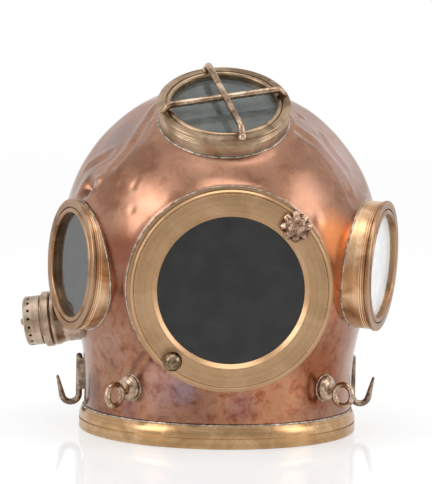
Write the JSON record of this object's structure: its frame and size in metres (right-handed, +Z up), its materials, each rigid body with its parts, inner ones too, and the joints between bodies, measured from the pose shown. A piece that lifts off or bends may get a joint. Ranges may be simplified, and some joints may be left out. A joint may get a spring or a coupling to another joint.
{
  "type": "diving helmet",
  "caption": "Copper diving helmet bonnet with glazed ports, screw-in faceplate, regulating exhaust valve, non-return air inlet and an interrupted-thread neck ring.",
  "frame": {"origin": "centre of the neck bore, in the bottom face of the neck ring", "axes": "+Z up through the crown, -Y out of the front port, +X the wearer's left"},
  "size_m": [0.3816, 0.4052, 0.3698],
  "materials": {
    "copper_shell": "aged beaten copper sheet with brown and lilac tarnish",
    "copper_duct": "dull tinned copper sheet",
    "port_glass": "thick plate glass, slightly grey-green",
    "leather": "oiled leather washer",
    "spring_bronze": "drawn phosphor bronze wire",
    "dark_bronze": "dull dark bronze, handled edges brighter",
    "ball_bronze": "dark tarnished bronze, polished by hand",
    "rosette_bronze": "cast bronze, rubbed bright on the petals",
    "valve_brass": "turned brass, grey-brown tarnish",
    "guard_brass": "drawn brass rod, dull",
    "ring_brass": "turned brass casting, worn yellow",
    "faceplate_brass": "turned brass casting, tan tarnish",
    "port_brass": "turned brass casting, tan tarnish"
  },
  "bodies": {
    "helmet": {"dome_shell": "copper_shell", "neck_ring": "ring_brass", "front_seat_ring": "faceplate_brass", "left_port_frame": "port_brass", "left_port_glass": "port_glass", "left_port_gasket": "leather", "left_port_retainer": "port_brass", "right_port_frame": "port_brass", "right_port_glass": "port_glass", "right_port_gasket": "leather", "right_port_retainer": "port_brass", "top_port_frame": "port_brass", "top_port_glass": "port_glass", "top_port_gasket": "leather", "top_port_retainer": "port_brass", "guard_bar_long": "guard_brass", "guard_bar_cross": "guard_brass", "exhaust_body": "valve_brass", "exhaust_stem_guide": "valve_brass", "exhaust_lock_ring": "valve_brass", "exhaust_seat_washer": "leather", "hook_left": "dark_bronze", "hook_right": "dark_bronze", "eye_left": "dark_bronze", "eye_right": "dark_bronze", "inlet_flange": "valve_brass", "inlet_elbow": "valve_brass", "inlet_valve_body": "valve_brass", "inlet_valve_guide": "valve_brass", "inlet_valve_spring": "spring_bronze", "air_duct_left": "copper_duct", "air_duct_right": "copper_duct", "air_duct_top": "copper_duct", "air_junction": "copper_duct"},
    "faceplate_washer": {"faceplate_gasket": "leather"},
    "faceplate": {"faceplate_ring": "faceplate_brass", "faceplate_glass": "port_glass", "faceplate_retainer": "faceplate_brass", "ball_knob": "ball_bronze", "rosette_knob": "rosette_bronze"},
    "exhaust_valve": {"exhaust_valve_disc": "valve_brass", "exhaust_stem": "valve_brass", "exhaust_chin_button": "valve_brass", "exhaust_spring": "spring_bronze"},
    "exhaust_spring_carrier": {"exhaust_spring_seat": "valve_brass"},
    "exhaust_regulator": {"exhaust_cap": "valve_brass"},
    "inlet_valve": {"inlet_valve_disc": "valve_brass"}
  },
  "joints": [
    {"name": "faceplate_advance", "type": "slide", "parent": "helmet", "child": "faceplate_washer", "axis": [0, -1, 0], "range_m": [0, 0.0101]},
    {"name": "faceplate_turn", "type": "hinge", "parent": "faceplate_washer", "child": "faceplate", "pos_m": [0, -0.158, 0.1556], "axis": [0, -1, 0], "range_deg": [0, 900]},
    {"name": "exhaust_lift", "type": "slide", "parent": "helmet", "child": "exhaust_valve", "axis": [-0.9806, 0.1378, -0.1392], "range_m": [0, 0.005], "stiffness_N_per_m": 250, "springref_m": -0.008, "deforming": ["exhaust_spring"]},
    {"name": "exhaust_cap_advance", "type": "slide", "parent": "helmet", "child": "exhaust_spring_carrier", "axis": [0.9806, -0.1378, 0.1392], "range_m": [0, 0.0018]},
    {"name": "exhaust_cap_turn", "type": "hinge", "parent": "exhaust_spring_carrier", "child": "exhaust_regulator", "pos_m": [-0.18175, 0.02554, 0.10443], "axis": [0.9806, -0.1378, 0.1392], "range_deg": [0, 432]},
    {"name": "inlet_lift", "type": "slide", "parent": "helmet", "child": "inlet_valve", "axis": [0, -0.342, 0.9397], "range_m": [0, 0.004], "stiffness_N_per_m": 60, "springref_m": -0.006, "deforming": ["inlet_valve_spring"]}
  ],
  "couplings": [
    {"joint": "faceplate_advance", "follows": "faceplate_turn", "m_per_rad": 0.00063662},
    {"joint": "exhaust_cap_turn", "follows": "exhaust_cap_advance", "rad_per_m": 4188.8}
  ]
}
